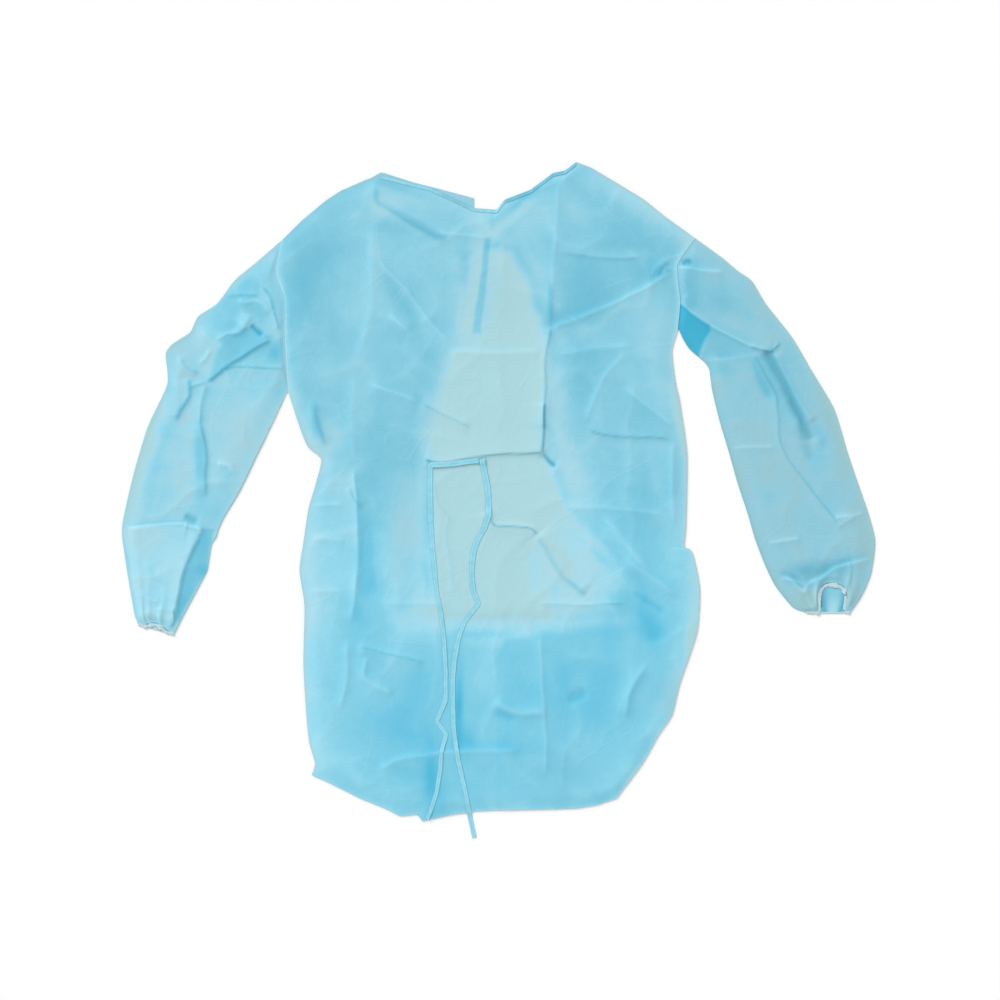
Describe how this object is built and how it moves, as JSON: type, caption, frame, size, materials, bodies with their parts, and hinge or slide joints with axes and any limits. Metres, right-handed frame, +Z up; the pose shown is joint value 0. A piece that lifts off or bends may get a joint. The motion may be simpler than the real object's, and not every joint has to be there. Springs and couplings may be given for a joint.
{
  "type": "protective overgown laid flat",
  "caption": "Long-sleeved disposable non-woven overgown with open back, gathered elastic cuffs, neck ties and waist ties, laid flat with its front up.",
  "frame": {"origin": "on the surface that the gown lies on, under the middle of its bounding box", "axes": "+X across the gown, to the right of somebody who looks down on its front with the neck away from them, +Y towards the neck, +Z up off the surface"},
  "size_m": [1.3564, 1.2128, 0.0103],
  "materials": {
    "nonwoven_cloth": "matt light-blue spun-bonded non-woven cloth with a fine embossed point pattern, thin enough for layers below to show as deeper blue",
    "tie_cloth": "the same cloth folded lengthwise into narrow straps and a neck band",
    "cuff_elastic": "white covered elastic, matt"
  },
  "bodies": {
    "root": {"front_panel": "nonwoven_cloth", "back_left_panel": "nonwoven_cloth", "back_right_panel": "nonwoven_cloth", "left_sleeve": "nonwoven_cloth", "right_sleeve": "nonwoven_cloth", "neck_binding": "tie_cloth", "left_waist_tie": "tie_cloth", "right_waist_tie": "tie_cloth", "left_neck_tie": "tie_cloth", "right_neck_tie": "tie_cloth", "left_cuff_elastic": "cuff_elastic", "right_cuff_elastic": "cuff_elastic"}
  },
  "joints": []
}
